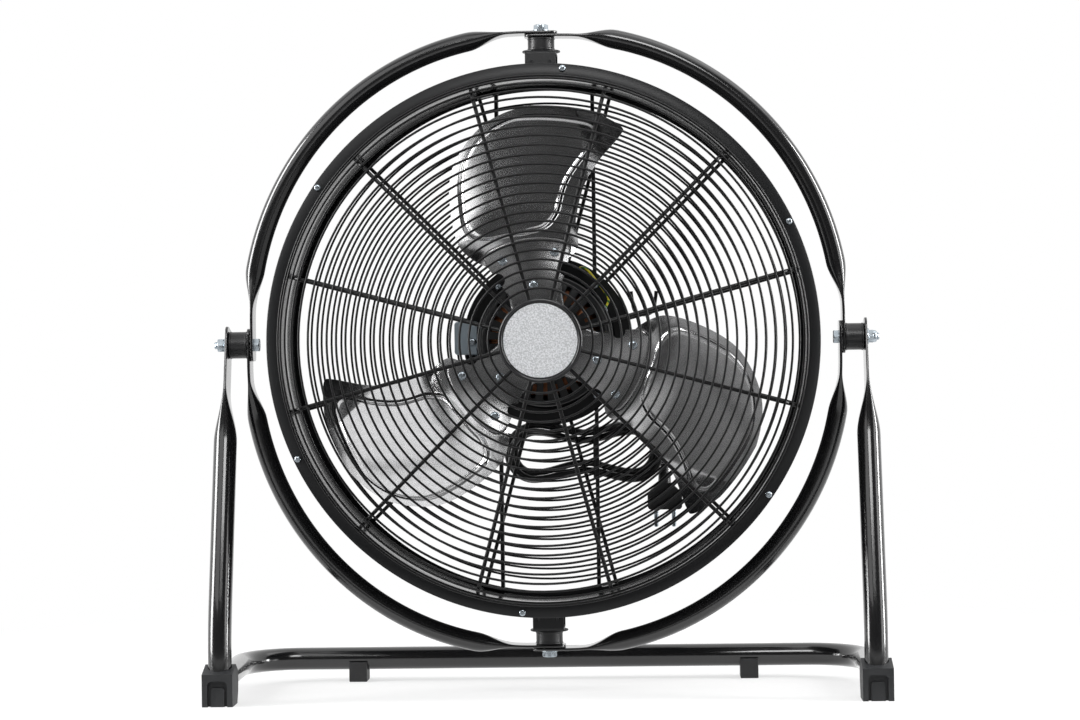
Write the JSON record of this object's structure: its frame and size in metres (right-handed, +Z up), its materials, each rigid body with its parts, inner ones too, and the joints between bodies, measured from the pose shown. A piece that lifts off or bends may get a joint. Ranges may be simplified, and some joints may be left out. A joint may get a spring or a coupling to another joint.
{
  "type": "drum fan",
  "caption": "Floor-standing drum fan: bladed rotor and motor in a guarded steel drum that swivels in a ring and tilts with it on a bent-tube stand.",
  "frame": {"origin": "on the floor below the middle of the object's extents, without the cord", "axes": "+Z up, -Y towards the front, where the air comes out, +X to the right of someone who faces the front"},
  "size_m": [0.6926, 0.2564, 0.6916],
  "materials": {
    "gloss_tube": "gloss black powder coat on steel tube",
    "foot_plastic": "charcoal, moulded, slightly grained",
    "rubber": "matt black",
    "zinc": "bright zinc plating, faintly blue",
    "black_plastic": "satin black moulding",
    "satin_sheet": "satin black paint on sheet steel",
    "guard_wire": "black coating on steel wire",
    "badge_metal": "silver-grey, fine speckle, no lettering",
    "copper": "varnished copper winding",
    "grey_plastic": "blue-grey moulding",
    "earth_insulation": "yellow and green insulation",
    "bare_aluminium": "satin bare sheet aluminium",
    "cord_sheath": "matt black cord sheath"
  },
  "bodies": {
    "stand": {"leg_left": "gloss_tube", "leg_right": "gloss_tube", "foot_left": "foot_plastic", "foot_right": "foot_plastic", "rear_pad_left": "rubber", "rear_pad_right": "rubber", "base_tube": "gloss_tube", "side_bolt_left": "zinc", "side_bolt_right": "zinc", "side_bushing_left": "black_plastic", "side_bushing_right": "black_plastic", "side_nut_left": "zinc", "side_nut_right": "zinc"},
    "ring": {"ring_tube_upper_left": "gloss_tube", "ring_tube_upper_right": "gloss_tube", "ring_tube_lower_right": "gloss_tube", "ring_tube_lower_left": "gloss_tube", "top_bolt": "zinc", "bottom_bolt": "zinc", "top_bushing": "black_plastic", "bottom_bushing": "black_plastic"},
    "drum": {"cord_gland": "rubber", "plug": "rubber", "guard_screw_1": "zinc", "guard_screw_2": "zinc", "guard_screw_3": "zinc", "guard_screw_4": "zinc", "guard_screw_5": "zinc", "guard_screw_6": "zinc", "badge_bezel": "black_plastic", "rear_cover": "black_plastic", "cord_tie": "black_plastic", "drum_shell": "satin_sheet", "top_bracket": "satin_sheet", "bottom_bracket": "satin_sheet", "top_friction_disc": "satin_sheet", "bottom_friction_disc": "satin_sheet", "motor_front_cap": "satin_sheet", "motor_stator": "satin_sheet", "motor_rear_housing": "satin_sheet", "mount_bar_left": "satin_sheet", "mount_bar_right": "satin_sheet", "front_guard": "guard_wire", "rear_guard": "guard_wire", "cord_hook": "guard_wire", "badge_disc": "badge_metal", "motor_winding": "copper", "capacitor": "grey_plastic", "earth_wire": "earth_insulation", "cord_lead": "cord_sheath", "cord_hank": "cord_sheath"},
    "rotor": {"rotor_spider": "bare_aluminium", "rotor_shaft": "zinc", "blade_1": "bare_aluminium", "blade_2": "bare_aluminium", "blade_3": "bare_aluminium"},
    "switch_knob": {"speed_knob": "black_plastic"}
  },
  "joints": [
    {"name": "ring_tilt", "type": "hinge", "parent": "stand", "child": "ring", "pos_m": [0, 0.0052, 0.3636], "axis": [1, 0, 0], "range_deg": [-90, 90]},
    {"name": "drum_swivel", "type": "hinge", "parent": "ring", "child": "drum", "pos_m": [0, 0.0052, 0.3636], "axis": [0, 0, 1], "range_deg": [-180, 180]},
    {"name": "rotor_spin", "type": "hinge", "parent": "drum", "child": "rotor", "pos_m": [0, -0.0348, 0.3636], "axis": [0, -1, 0], "continuous": true},
    {"name": "switch_turn", "type": "hinge", "parent": "drum", "child": "switch_knob", "pos_m": [0, 0.1152, 0.3636], "axis": [0, 1, 0], "range_deg": [0, 135]}
  ]
}
